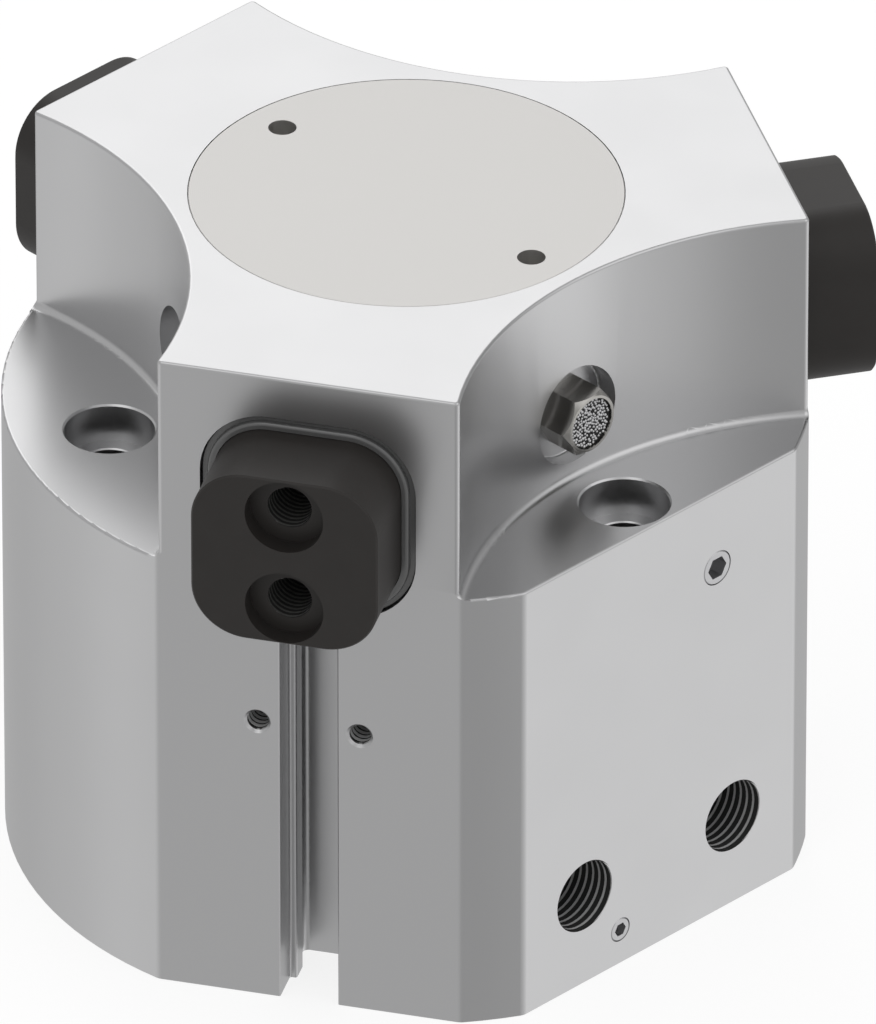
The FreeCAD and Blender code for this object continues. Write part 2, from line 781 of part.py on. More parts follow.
def jaw_frame():
    """The frame that closes the guide grooves and wipes the jaw with its raised lip."""
    shoulder_front = arm_face - frame_shoulder_depth
    plate_front = arm_face - frame_plate_depth
    lip_front = arm_face + frame_lip_reach
    inside = (pocket_floor + plate_front) / 2
    lip = jaw_section(frame_lip_width, inside, lip_front)
    rim = edges_where(lip, lambda e: abs(e.BoundBox.XMin - lip_front) < 1e-6)
    frame = pocket_section(pocket_margin - seat_clearance, pocket_floor, plate_front)
    frame = frame.fuse(pocket_section(frame_shoulder_width, inside, shoulder_front))
    frame = frame.fuse(lip.makeFillet(frame_lip_radius, rim))
    return frame.cut(jaw_section(slide_clearance, pocket_floor - past, lip_front + past))


def breather_body():
    """The hexagonal vent fitting with a recess for the porous disc."""
    front = vent_floor + breather_height
    corner = breather_across_flats / 2 / math.cos(math.radians(30))
    body = hexagon(breather_across_flats, vent_floor, front, 0, vent_height, breather_turn)
    envelope = radial(corner, vent_floor, front, 0, vent_height)
    rim = edges_where(envelope, lambda e: abs(e.BoundBox.XMin - front) < 1e-6)
    envelope = envelope.makeChamfer(breather_rim_chamfer + corner - breather_across_flats / 2, rim)
    body = body.common(envelope)
    body = body.fuse(radial(vent_bore / 2 - thread_clearance, cavity_radius + screw_clearance, vent_floor,
                            0, vent_height))
    seat = front - breather_disc_recess - breather_disc_height
    body = body.cut(radial(breather_disc_diameter / 2, seat, front + past, 0, vent_height))
    return body.cut(radial(breather_passage / 2, cavity_radius, seat, 0, vent_height))


def breather_element():
    front = vent_floor + breather_height - breather_disc_recess
    return radial(breather_disc_diameter / 2 - thread_clearance, front - breather_disc_height, front,
                  0, vent_height)


def set_screw(diameter, length, socket, x_face, y, z):
    """A headless screw, flush with a face across +X, with a hexagon socket."""
    radius = diameter / 2 - plug_clearance
    screw = radial(radius, x_face - length, x_face, y, z)
    rim = edges_where(screw, lambda e: abs(e.BoundBox.XMin - x_face) < 1e-6)
    screw = screw.makeChamfer(small_chamfer / 2, rim)
    return screw.cut(hexagon(socket, x_face - length / 2, x_face + past, y, z))


def duct_plug():
    return set_screw(duct_plug_diameter, duct_plug_length, duct_plug_socket, port_face,
                     duct_plug_side, duct_plug_height)


def bleed_plug():
    return set_screw(bleed_plug_diameter, bleed_plug_length, bleed_plug_socket, port_face,
                     bleed_plug_side, bleed_plug_height)


def vent_plug():
    return set_screw(vent_bore, vent_plug_length, vent_plug_socket, vent_floor, 0, vent_height)


def piston():
    """The piston, thinner at both ends so that air gets past its land."""
    land = chamber_radius - piston_clearance
    neck = chamber_radius - piston_neck_depth
    body = turned_profile([
        (0, piston_z),
        (neck - small_chamfer, piston_z),
        (neck, piston_z + small_chamfer),
        (neck, land_z),
        (land, land_z),
        (land, piston_groove_z),
        (piston_groove_radius, piston_groove_z),
        (piston_groove_radius, piston_groove_z + piston_seal_width),
        (land, piston_groove_z + piston_seal_width),
        (land, land_top_z),
        (neck, land_top_z),
        (neck, magnet_z),
        (neck - magnet_width, magnet_z),
        (neck - magnet_width, piston_top_z),
        (0, piston_top_z),
    ])
    seat_z = piston_screw_seat_z
    tools = [
        upright(rod_spigot_diameter / 2 + thread_clearance, seat_z + piston_web, piston_top_z + past),
        upright(rod_screw_diameter / 2 + screw_clearance, piston_z - past, piston_top_z),
        upright(rod_screw_head_diameter / 2 + 2 * screw_clearance, piston_z - past, seat_z),
    ]
    return body.cut(tools)


def piston_seal():
    return lipped_seal(piston_groove_radius + thread_clearance, chamber_radius - piston_seal_clearance,
                       piston_groove_z + thread_clearance,
                       piston_groove_z + piston_seal_width - thread_clearance, both_ends=True)


def piston_magnet():
    """The ring that the sensors in the arm slots read."""
    outer = chamber_radius - piston_neck_depth
    return tube(outer, outer - magnet_width + thread_clearance, magnet_z, piston_top_z)


def piston_rod():
    """The rod, with a spigot for the piston below and a grooved head for the levers above."""
    spigot_z = piston_screw_seat_z + piston_web + 2 * thread_clearance
    edge = small_chamfer
    rod = turned_profile([
        (0, spigot_z),
        (rod_spigot_diameter / 2, spigot_z),
        (rod_spigot_diameter / 2, piston_top_z),
        (rod_radius, piston_top_z),
        (rod_radius, head_bottom_z),
        (head_radius - edge, head_bottom_z),
        (head_radius, head_bottom_z + edge),
        (head_radius, groove_z - groove_half - edge),
        (head_radius - edge, groove_z - groove_half),
        (head_neck_radius, groove_z - groove_half),
        (head_neck_radius, groove_z + groove_half),
        (head_radius - edge, groove_z + groove_half),
        (head_radius, groove_z + groove_half + edge),
        (head_radius, head_top_z - edge),
        (head_radius - edge, head_top_z),
        (0, head_top_z),
    ])
    return rod.cut(upright(rod_screw_diameter / 2, spigot_z - past, spigot_z + rod_screw_thread))


def rod_screw():
    seat_z = piston_screw_seat_z
    head_z = seat_z - rod_screw_head_height
    screw = upright(rod_screw_head_diameter / 2, head_z, seat_z)
    screw = screw.fuse(upright(rod_screw_diameter / 2 - thread_clearance, seat_z,
                               seat_z + piston_web + rod_screw_thread - screw_clearance))
    return screw.cut(upright_socket(rod_screw_socket, head_z, -rod_screw_head_height / 2))


def one_solid(shape):
    if len(shape.Solids) != 1:
        raise ValueError("expected one solid, found %d" % len(shape.Solids))
    return shape.Solids[0]


def all_parts():
    parts = {
        "housing": housing(),
        "top_cover": top_cover(),
        "cover_seal": cover_seal(),
        "end_cap": end_cap(),
        "end_cap_seal": end_cap_seal(),
        "retaining_ring": retaining_ring(),
        "rod_bush": rod_bush(),
        "rod_seal": rod_seal(),
        "lever_bracket": lever_bracket(),
        "duct_plug": turned(duct_plug(), port_angle),
        "bleed_plug": turned(bleed_plug(), port_angle),
        "breather_body": turned(breather_body(), vent_angles[0]),
        "breather_element": turned(breather_element(), vent_angles[0]),
        "vent_plug": turned(vent_plug(), vent_angles[1]),
        "piston": piston(),
        "piston_seal": piston_seal(),
        "piston_magnet": piston_magnet(),
        "piston_rod": piston_rod(),
        "rod_screw": rod_screw(),
    }
    for number, angle in enumerate(cut_angles, 1):
        parts["bracket_screw_%d" % number] = turned(bracket_screw(), angle)
    for number, angle in enumerate(arm_angles, 1):
        parts["lever_pin_%d" % number] = turned(lever_pin(), angle)
        parts["lever_%d" % number] = turned(lever(), angle)
        parts["jaw_frame_%d" % number] = turned(jaw_frame(), angle)
        parts["jaw_%d" % number] = turned(jaw(), angle)
    return parts


def main():
    os.makedirs("parts", exist_ok=True)
    for name, shape in all_parts().items():
        solid = one_solid(shape)
        if not solid.isValid():
            raise ValueError(name + " is not a valid solid")
        solid.exportStep(os.path.join("parts", name + ".step"))
        print("%-18s %10.1f mm3, %3d faces" % (name, solid.Volume, len(solid.Faces)))


main()
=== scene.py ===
import json
import math

import bmesh
import bpy
from mathutils import Matrix, Vector
from mathutils.kdtree import KDTree


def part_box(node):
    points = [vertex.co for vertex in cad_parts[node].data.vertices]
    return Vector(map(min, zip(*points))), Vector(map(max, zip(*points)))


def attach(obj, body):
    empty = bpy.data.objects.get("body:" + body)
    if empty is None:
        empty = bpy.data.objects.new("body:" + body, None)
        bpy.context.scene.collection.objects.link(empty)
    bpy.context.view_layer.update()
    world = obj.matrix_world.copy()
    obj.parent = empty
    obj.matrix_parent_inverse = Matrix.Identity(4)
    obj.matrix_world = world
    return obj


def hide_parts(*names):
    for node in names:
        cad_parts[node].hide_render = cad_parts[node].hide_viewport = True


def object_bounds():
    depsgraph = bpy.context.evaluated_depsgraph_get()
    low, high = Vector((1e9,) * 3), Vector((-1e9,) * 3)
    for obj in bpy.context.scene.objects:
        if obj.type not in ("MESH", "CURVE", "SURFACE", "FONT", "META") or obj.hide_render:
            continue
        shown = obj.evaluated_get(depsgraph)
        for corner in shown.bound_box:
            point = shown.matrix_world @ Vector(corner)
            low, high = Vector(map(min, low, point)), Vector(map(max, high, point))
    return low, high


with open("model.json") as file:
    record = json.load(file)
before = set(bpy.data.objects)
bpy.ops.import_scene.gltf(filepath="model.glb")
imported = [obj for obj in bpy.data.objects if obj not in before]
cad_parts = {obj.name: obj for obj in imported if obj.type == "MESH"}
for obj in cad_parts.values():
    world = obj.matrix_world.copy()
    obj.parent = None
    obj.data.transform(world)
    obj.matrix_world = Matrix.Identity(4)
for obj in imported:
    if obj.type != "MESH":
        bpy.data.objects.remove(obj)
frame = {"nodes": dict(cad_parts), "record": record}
cadLow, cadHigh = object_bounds()
cadNodes = frame["nodes"]
mounts = frame["record"]["mounts"]
scene = bpy.context.scene
print("frame loaded,", len(cadNodes), "nodes")


# the unit vector at an azimuth from +X and an elevation, both in degrees
def direction(azimuth, elevation=0):
    a, e = math.radians(azimuth), math.radians(elevation)
    return Vector((math.cos(a) * math.cos(e), math.sin(a) * math.cos(e), math.sin(e)))


# the transform that takes +Z to an axis and the origin to a place
def placed(axis, place):
    return Matrix.Translation(place) @ axis.to_track_quat("Z", "Y").to_matrix().to_4x4()


def addNode(tree, kind, **settings):
    made = tree.nodes.new(kind)
    for name, value in settings.items():
        setattr(made, name, value)
    return made


def newMaterial(name, colour, metallic, roughness, specular=0.5):
    material = bpy.data.materials.new(name)
    material.use_nodes = True
    shader = material.node_tree.nodes["Principled BSDF"]
    shader.inputs["Base Color"].default_value = (*colour, 1)
    shader.inputs["Metallic"].default_value = metallic
    shader.inputs["Roughness"].default_value = roughness
    shader.inputs["Specular IOR Level"].default_value = specular
    material.diffuse_color = (*colour, 1)
    return material, material.node_tree, shader


# a noise on object coordinates, its cells about as large as size, in metres
def noiseField(tree, size, detail=2.0):
    place = addNode(tree, "ShaderNodeTexCoord")
    noise = addNode(tree, "ShaderNodeTexNoise")
    noise.inputs["Scale"].default_value = 1 / size
    noise.inputs["Detail"].default_value = detail
    tree.links.new(place.outputs["Object"], noise.inputs["Vector"])
    return noise.outputs["Fac"]


noiseSpan = (0.3, 0.7)  # most of a noise lies in here


# a noise brought to a middle value and a spread to either side
def ranged(tree, field, middle, spread):
    made = addNode(tree, "ShaderNodeMapRange")
    made.inputs["From Min"].default_value = noiseSpan[0]
    made.inputs["From Max"].default_value = noiseSpan[1]
    made.inputs["To Min"].default_value = middle - spread
    made.inputs["To Max"].default_value = middle + spread
    tree.links.new(field, made.inputs["Value"])
    return made.outputs["Result"]


def bumped(tree, shader, field, height):
    bump = addNode(tree, "ShaderNodeBump")
    bump.inputs["Strength"].default_value = 1.0
    bump.inputs["Distance"].default_value = height
    tree.links.new(field, bump.inputs["Height"])
    tree.links.new(bump.outputs["Normal"], shader.inputs["Normal"])


anodised = {
    "colour": (0.585, 0.585, 0.59),
    "roughness": 0.31,
    "roughnessSpread": 0.012,
    "cloudSize": 0.012,
    "grainSize": 0.00012,
    "grainHeight": 0.0000011,
}


def makeAnodised():
    look = anodised
    material, tree, shader = newMaterial("anodisedAluminium", look["colour"], 1.0,
                                         look["roughness"])
    clouds = noiseField(tree, look["cloudSize"])
    varied = ranged(tree, clouds, look["roughness"], look["roughnessSpread"])
    tree.links.new(varied, shader.inputs["Roughness"])
    bumped(tree, shader, noiseField(tree, look["grainSize"], 1.0), look["grainHeight"])
    return material


turnedCover = {
    "colour": (0.62, 0.61, 0.595),
    "roughness": 0.46,
    "roughnessSpread": 0.03,
    "ringPitch": 0.00022,
    "ringHeight": 0.0000006,
    "ringWaver": 0.6,
}
waveTurn = 2 * math.pi / 20  # a wave texture's period at scale 1


def makeTurnedCover():
    look = turnedCover
    material, tree, shader = newMaterial("turnedAluminium", look["colour"], 1.0,
                                         look["roughness"])
    place = addNode(tree, "ShaderNodeTexCoord")
    rings = addNode(tree, "ShaderNodeTexWave", wave_type="RINGS", rings_direction="Z")
    rings.inputs["Scale"].default_value = waveTurn / look["ringPitch"]
    rings.inputs["Distortion"].default_value = look["ringWaver"]
    rings.inputs["Detail"].default_value = 1.0
    tree.links.new(place.outputs["Object"], rings.inputs["Vector"])
    varied = ranged(tree, rings.outputs["Fac"], look["roughness"], look["roughnessSpread"])
    tree.links.new(varied, shader.inputs["Roughness"])
    bumped(tree, shader, rings.outputs["Fac"], look["ringHeight"])
    return material


# one recipe for the plainer finishes, and for the painted shade and painted light in the holes
# and under the breather's beads: a slow drift of the colour and a fine grain
finishes = {
    "blackOxide": {"colour": (0.030, 0.027, 0.025), "drift": 0.12, "metallic": 0.0,
                   "specular": 0.3, "roughness": 0.45,
                   "grainSize": 0.00015, "grainHeight": 0.0000015},
    "greyPlastic": {"colour": (0.11, 0.11, 0.11), "drift": 0.04, "metallic": 0.0,
                    "specular": 1.0, "roughness": 0.24,
                    "grainSize": 0.0003, "grainHeight": 0.0000015},
    "platedSteel": {"colour": (0.60, 0.60, 0.61), "drift": 0.04, "metallic": 1.0,
                    "specular": 0.5, "roughness": 0.42,
                    "grainSize": 0.0001, "grainHeight": 0.0000008},
    # the next two dress thread ridges: partly the bare metal that tapping leaves, partly
    # painted light, paler and more diffuse than the bore would show, standing in for light
    # reaching into the hole
    "tappedMetalPaintedLight": {"colour": (0.62, 0.62, 0.62), "drift": 0.03, "metallic": 0.2,
                    "specular": 0.5, "roughness": 0.55,
                    "grainSize": 0.0002, "grainHeight": 0.0000008},
    "tappedSteelPaintedLight": {"colour": (0.13, 0.13, 0.125), "drift": 0.05, "metallic": 0.0,
                    "specular": 0.5, "roughness": 0.5,
                    "grainSize": 0.0002, "grainHeight": 0.0000008},
    "groundSteel": {"colour": (0.55, 0.55, 0.56), "drift": 0.03, "metallic": 1.0,
                    "specular": 0.5, "roughness": 0.25,
                    "grainSize": 0.0002, "grainHeight": 0.0000008},
    "nickelPlate": {"colour": (0.42, 0.41, 0.39), "drift": 0.05, "metallic": 1.0,
                    "specular": 0.5, "roughness": 0.2,
                    "grainSize": 0.0002, "grainHeight": 0.000001},
    # painted shade: the faces of thread grooves made near-black, where only shade falls
    "threadShadow": {"colour": (0.035, 0.035, 0.034), "drift": 0.1, "metallic": 0.0,
                     "specular": 0.3, "roughness": 0.6,
                     "grainSize": 0.0002, "grainHeight": 0.000002},
    "beadMetal": {"colour": (0.74, 0.74, 0.75), "drift": 0.10, "metallic": 1.0,
                  "specular": 0.5, "roughness": 0.38,
                  "grainSize": 0.0002, "grainHeight": 0.0},
    # painted shade: the breather element under its beads made near-black, standing in for the
    # shade between the grains
    "sinterShadow": {"colour": (0.03, 0.03, 0.03), "drift": 0.1, "metallic": 0.0,
                     "specular": 0.3, "roughness": 0.9,
                     "grainSize": 0.0002, "grainHeight": 0.00002},
    "blackRubber": {"colour": (0.02, 0.02, 0.02), "drift": 0.1, "metallic": 0.0,
                    "specular": 0.4, "roughness": 0.6,
                    "grainSize": 0.0004, "grainHeight": 0.000004},
    "bushBronze": {"colour": (0.52, 0.36, 0.16), "drift": 0.08, "metallic": 1.0,
                   "specular": 0.5, "roughness": 0.4,
                   "grainSize": 0.0002, "grainHeight": 0.000001},
    "magnetCompound": {"colour": (0.05, 0.05, 0.052), "drift": 0.15, "metallic": 0.0,
                       "specular": 0.4, "roughness": 0.7,
                       "grainSize": 0.0003, "grainHeight": 0.000004},
    "springSteel": {"colour": (0.10, 0.10, 0.11), "drift": 0.06, "metallic": 1.0,
                    "specular": 0.5, "roughness": 0.38,
                    "grainSize": 0.0002, "grainHeight": 0.000001},
}
driftSize = 0.004


def makeFinish(name):
    look = finishes[name]
    material, tree, shader = newMaterial(name, look["colour"], look["metallic"],
                                         look["roughness"], look["specular"])
    drift = addNode(tree, "ShaderNodeMix", data_type="RGBA")
    for end, change in (("A", -look["drift"]), ("B", look["drift"])):
        colour = (min(1, c * (1 + change)) for c in look["colour"])
        drift.inputs[end].default_value = (*colour, 1)
    tree.links.new(noiseField(tree, driftSize), drift.inputs["Factor"])
    tree.links.new(drift.outputs["Result"], shader.inputs["Base Color"])
    bumped(tree, shader, noiseField(tree, look["grainSize"], 1.0), look["grainHeight"])
    return material


materials = {"anodised": makeAnodised(), "cover": makeTurnedCover()}
materials.update((name, makeFinish(name)) for name in finishes)
print("materials made:", len(materials))


def addPiece(name, mesh, body):
    piece = bpy.data.objects.new(name, mesh)
    scene.collection.objects.link(piece)
    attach(piece, body)
    return piece


# the evaluated result of an object's modifiers, as a plain mesh
def plainMesh(piece):
    graph = bpy.context.evaluated_depsgraph_get()
    return bpy.data.meshes.new_from_object(piece.evaluated_get(graph))


# metres within which corners are one, an edge is no edge, and a place counts as the same
closeness = {"weld": 1e-7, "sliver": 1e-8, "match": 2e-7}


# a CAD node's triangles with shared corners, ready to be cut and smoothed
def mergedMesh(node):
    source = cadNodes[node].data
    source.calc_loop_triangles()
    work = bmesh.new()
    corners = [work.verts.new(v.co) for v in source.vertices]
    for triangle in source.loop_triangles:
        work.faces.new([corners[i] for i in triangle.vertices])
    bmesh.ops.remove_doubles(work, verts=work.verts, dist=closeness["weld"])
    bmesh.ops.dissolve_degenerate(work, edges=work.edges, dist=closeness["sliver"])
    mesh = bpy.data.meshes.new(node + "Mesh")
    work.to_mesh(mesh)
    work.free()
    return mesh


# the rounded edges of the three ledges: a root along each hollow's wall, which is an arc
# round an axis off to the side, and a rim round the outside; slack and offEdge are how far
# past its ends and off its surface a corner may lie
ledges = {"azimuths": (330, 90, 210), "height": 0.0557, "bodyRadius": 0.0455,
          "rimRadius": 0.0003, "axisDistance": 0.071867, "wallRadius": 0.045267,
          "rootRadius": 0.00085, "slack": 1e-6, "offEdge": 4e-6}


# the true normal of a point on a ledge's root or rim, or None elsewhere
def ledgeNormal(point):
    root, rim, slack = ledges["rootRadius"], ledges["rimRadius"], ledges["slack"]
    across = Vector((point.x, point.y, 0))
    outward = across - across.normalized() * (ledges["bodyRadius"] - rim)
    outward.z = point.z - ledges["height"] + rim
    onRim = abs(outward.length - rim) < ledges["offEdge"]
    if onRim and min(outward.z, outward.dot(across)) > -slack:
        return outward.normalized()
    if not ledges["height"] - slack < point.z < ledges["height"] + root + slack:
        return None
    for azimuth in ledges["azimuths"]:
        fromAxis = across - direction(azimuth) * ledges["axisDistance"]
        middle = fromAxis.normalized() * (ledges["wallRadius"] - root)
        inward = middle - fromAxis + Vector((0, 0, ledges["height"] + root - point.z))
        onRoot = abs(inward.length - root) < ledges["offEdge"]
        if onRoot and fromAxis.length > middle.length - slack:
            return inward.normalized()
    return None


# sharp edges in degrees, and how near a normal must be to its facet's own, as a cosine:
# to follow a ledge's edge, to come from the same CAD facet, and to count as flat
shading = {"sharpAngle": 28, "edgeMatch": 0.75, "facetMatch": 0.9, "flat": 0.99999}


# smooth shading with the CAD's own normals; a cut face that is flat in the CAD stays flat
def smoothed(mesh, node):
    source = cadNodes[node].data
    tree = KDTree(len(source.vertices))
    for vertex in source.vertices:
        tree.insert(vertex.co, vertex.index)
    tree.balance()
    atVertex = [[] for _ in source.vertices]
    for polygon in source.polygons:
        for i in polygon.loop_indices:
            given = (polygon.normal.copy(), source.corner_normals[i].vector.copy())
            atVertex[source.loops[i].vertex_index].append(given)
    mesh.polygons.foreach_set("use_smooth", [True] * len(mesh.polygons))
    mesh.set_sharp_from_angle(angle=math.radians(shading["sharpAngle"]))
    normals = [(0, 0, 0)] * len(mesh.loops)  # a zero leaves the corner to Blender
    for polygon in mesh.polygons:
        if polygon.material_index:
            continue
        facing, fresh, flat = polygon.normal, [], True
        for i in polygon.loop_indices:
            place = mesh.vertices[mesh.loops[i].vertex_index].co
            edge = ledgeNormal(place) if node == "housing" else None
            if edge and edge.dot(facing) > shading["edgeMatch"]:
                normals[i] = edge
                flat = flat and edge.dot(facing) > shading["flat"]
                continue
            near = tree.find_range(place, closeness["match"])
            found = [pair for _, index, _ in near for pair in atVertex[index]]
            facet, corner = max(found, key=lambda pair: pair[0].dot(facing),
                                default=(None, None))
            if found and facet.dot(facing) > shading["facetMatch"]:
                normals[i] = corner
                flat = flat and corner.dot(facing) > shading["flat"]
            else:
                fresh.append(i)
        if flat:
            for i in fresh:
                normals[i] = facing.copy()
    mesh.normals_split_custom_set(normals)
    return mesh


# a geometry tree with named inputs; gives the tree and its inputs
def openTree(name, sizes, count):
    tree = bpy.data.node_groups.new(name, "GeometryNodeTree")
    tree.is_modifier = True
    sockets = [("Geometry", "Geometry"), *((size, "Float") for size in sizes),
               (count, "Int"), ("Material", "Material")]
    for title, kind in sockets:
        tree.interface.new_socket(title, in_out="INPUT", socket_type="NodeSocket" + kind)
    tree.interface.new_socket("Geometry", in_out="OUTPUT", socket_type="NodeSocketGeometry")
    return tree, addNode(tree, "NodeGroupInput").outputs


# leads geometry into one more node
def passed(tree, geometry, kind):
    made = addNode(tree, kind)
    tree.links.new(geometry, made.inputs["Geometry"])
    return made


def closeTree(tree, geometry, material):
    dress = passed(tree, geometry, "GeometryNodeSetMaterial")
    tree.links.new(material, dress.inputs["Material"])
    passed(tree, dress.outputs["Geometry"], "NodeGroupOutput")
    return tree


# runs a tree on a mesh with the inputs in values, and gives the plain result
def runTree(tree, mesh, values):
    holder = bpy.data.objects.new("holder", mesh)
    scene.collection.objects.link(holder)
    modifier = holder.modifiers.new("nodes", "NODES")
    modifier.node_group = tree
    for item in tree.interface.items_tree:
        if item.in_out == "INPUT" and item.name in values:
            modifier[item.identifier] = values[item.name]
    holder.update_tag()
    result = plainMesh(holder)
    bpy.data.objects.remove(holder)
    return result


# by the start of the mounts' names; mouth, bottom and end are shares of the pitch, the end
# is how far the last turn runs past the hole's mouth, outward is how far that mouth stands
# off the mount, and a pair of screw holes lies sideways or stands upright
threads = {
    "air_port": {"ridges": "tappedMetalPaintedLight", "pitch": 0.000975, "depth": 0.00058,
                 "mouth": 0.7, "bottom": 0.16, "end": 0.7, "steps": 48},
    "jaw_": {"ridges": "tappedSteelPaintedLight", "pitch": 0.00078, "depth": 0.0004,
             "mouth": 0.62, "bottom": 0.16, "end": 0.7, "steps": 40,
             "length": 0.0107, "outward": 0.0003, "sideways": False},
    "arm_": {"ridges": "tappedMetalPaintedLight", "pitch": 0.00078, "depth": 0.0002,
             "mouth": 0.32, "bottom": 0.1, "end": 0.1, "steps": 32,
             "length": 0.0052, "outward": 0.0, "sideways": True},
}
# the groove's wedge starts inside the bore, by a share of its depth, and is wider there by
# a share of its mouth's half width; a wall lies within a share of the radius from the bore
wedge = {"inside": 0.2, "flare": 0.1, "wallMatch": 0.02}


# a wedge-shaped ring of turns round Z, the space between a thread's ridges
def threadTree():
    sizes = ("Core radius", "Pitch", "Length", "Depth", "Mouth", "Bottom")
    tree, given = openTree("threadGroove", sizes, "Steps")
    links = tree.links

    def maths(operation, a, b):
        made = addNode(tree, "ShaderNodeMath", operation=operation)
        for socket, value in zip(made.inputs, (a, b)):
            if isinstance(value, float):
                socket.default_value = value
            else:
                links.new(value, socket)
        return made.outputs[0]

    spiral = addNode(tree, "GeometryNodeCurveSpiral")
    links.new(given["Steps"], spiral.inputs["Resolution"])
    links.new(maths("DIVIDE", given["Length"], given["Pitch"]), spiral.inputs["Rotations"])
    links.new(given["Core radius"], spiral.inputs["Start Radius"])
    links.new(given["Core radius"], spiral.inputs["End Radius"])
    links.new(given["Length"], spiral.inputs["Height"])
    upright = addNode(tree, "GeometryNodeSetCurveNormal", mode="Z_UP")
    links.new(spiral.outputs["Curve"], upright.inputs["Curve"])

    inside = maths("MULTIPLY", given["Depth"], -wedge["inside"])
    mouth = maths("MULTIPLY", given["Mouth"], (1 + wedge["flare"]) / 2)
    bottom = maths("MULTIPLY", given["Bottom"], 0.5)
    profile = addNode(tree, "GeometryNodeCurvePrimitiveQuadrilateral", mode="POINTS")
    corners = ((inside, maths("MULTIPLY", mouth, -1.0)),
               (given["Depth"], maths("MULTIPLY", bottom, -1.0)),
               (given["Depth"], bottom),
               (inside, mouth))
    for number, (x, y) in enumerate(corners, 1):
        corner = addNode(tree, "ShaderNodeCombineXYZ")
        links.new(x, corner.inputs["X"])
        links.new(y, corner.inputs["Y"])
        links.new(corner.outputs[0], profile.inputs["Point %d" % number])

    sweep = addNode(tree, "GeometryNodeCurveToMesh")
    sweep.inputs["Fill Caps"].default_value = True
    links.new(upright.outputs["Curve"], sweep.inputs["Curve"])
    links.new(profile.outputs["Curve"], sweep.inputs["Profile Curve"])
    real = passed(tree, sweep.outputs["Mesh"], "GeometryNodeRealizeInstances")
    return closeTree(tree, real.outputs["Geometry"], given["Material"])


grooveTree = threadTree()


# every threaded hole of the mounts whose names start with a prefix: size, radius, mouth, axis
def threadedHoles(prefixes):
    holes = []
    for mount in mounts:
        if not mount["name"].startswith(prefixes):
            continue
        size = dict(next(s for key, s in threads.items() if mount["name"].startswith(key)))
        centre, axis, dims = Vector(mount["pos_m"]), Vector(mount["axis"]), mount["dims"]
        if mount["kind"] == "threaded_hole":
            size["length"] = dims["length_mm"] / 1000
            holes.append((size, dims["r_mm"] / 1000, centre, axis))
            continue
        half = Vector((0, 0, dims["pcd_mm"] / 2000))
        if size["sideways"]:
            half = half.cross(axis)
        for side in (-1, 1):
            mouth = centre + axis * size["outward"] + half * side
            holes.append((size, dims["hole_r_mm"] / 1000, mouth, axis))
    return holes


# the thread grooves of the holes, as one mesh, in a near-black painted shade
def threadGrooves(holes):
    shadow = materials["threadShadow"]
    work = bmesh.new()
    for size, radius, mouth, axis in holes:
        pitch = size["pitch"]
        turns = runTree(grooveTree, bpy.data.meshes.new("empty"), {
            "Core radius": radius,
            "Pitch": pitch,
            "Length": size["length"],
            "Depth": size["depth"],
            "Mouth": size["mouth"] * pitch,
            "Bottom": size["bottom"] * pitch,
            "Steps": size["steps"],
            "Material": shadow,
        })
        start = mouth - axis * (size["length"] - pitch * size["end"])
        turns.transform(placed(axis, start))
        work.from_mesh(turns)
    bmesh.ops.recalc_face_normals(work, faces=work.faces)
    mesh = bpy.data.meshes.new("grooves")
    mesh.materials.append(shadow)
    work.to_mesh(mesh)
    work.free()
    return mesh


def cutThreads(mesh, grooves):
    holder = bpy.data.objects.new("holder", mesh)
    tool = bpy.data.objects.new("tool", grooves)
    for made in (holder, tool):
        scene.collection.objects.link(made)
    cut = holder.modifiers.new("threads", "BOOLEAN")
    cut.operation = "DIFFERENCE"
    cut.solver = "EXACT"
    cut.material_mode = "TRANSFER"
    cut.object = tool
    result = plainMesh(holder)
    bpy.data.objects.remove(holder)
    bpy.data.objects.remove(tool)
    return result


# the ridges that the grooves leave standing, in a finish of their own: partly the bare metal
# that tapping leaves, partly painted light, a paler and more diffuse colour that stands in for
# light reaching into the bore
def ridged(mesh, holes):
    mesh.materials.append(materials[holes[0][0]["ridges"]])
    ridgeIndex = len(mesh.materials) - 1
    for polygon in mesh.polygons:
        if polygon.material_index:
            continue
        for size, radius, mouth, axis in holes:
            across = polygon.center - mouth
            depth = -across.dot(axis)
            offWall = abs((across + axis * depth).length - radius)
            if 0 < depth < size["length"] and offWall < radius * wedge["wallMatch"]:
                polygon.material_index = ridgeIndex
    return mesh


# a node's solid with its threads cut and its shading smoothed, in the node's place
def finishedCopy(node, body, material, holes=()):
    mesh = mergedMesh(node)
    mesh.materials.append(material)
    if holes:
        mesh = ridged(cutThreads(mesh, threadGrooves(holes)), holes)
    piece = addPiece(node + "Finished", smoothed(mesh, node), body)
    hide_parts(node)


finishedCopy("housing", "housing", materials["anodised"],
             threadedHoles(("air_port", "arm_")))
print("housing cut and smoothed")

for number in (1, 2, 3):
    jaw = "jaw_%d" % number
    finishedCopy(jaw, jaw, materials["blackOxide"], threadedHoles(jaw + "_"))
print("jaws cut and smoothed")


# the other pieces that show, each with its slot and its finish
shownNodes = {
    "top_cover": ("cover", "cover"),
    "breather_body": ("breather", "nickelPlate"),
    "duct_plug": ("screw", "platedSteel"),
    "bleed_plug": ("screw", "platedSteel"),
    "vent_plug": ("screw", "platedSteel"),
    "end_cap": ("body", "anodised"),
    "jaw_frame_1": ("frame", "greyPlastic"),
    "jaw_frame_2": ("frame", "greyPlastic"),
    "jaw_frame_3": ("frame", "greyPlastic"),
}
for node, (slot, finish) in shownNodes.items():
    finishedCopy(node, "housing", materials[finish])

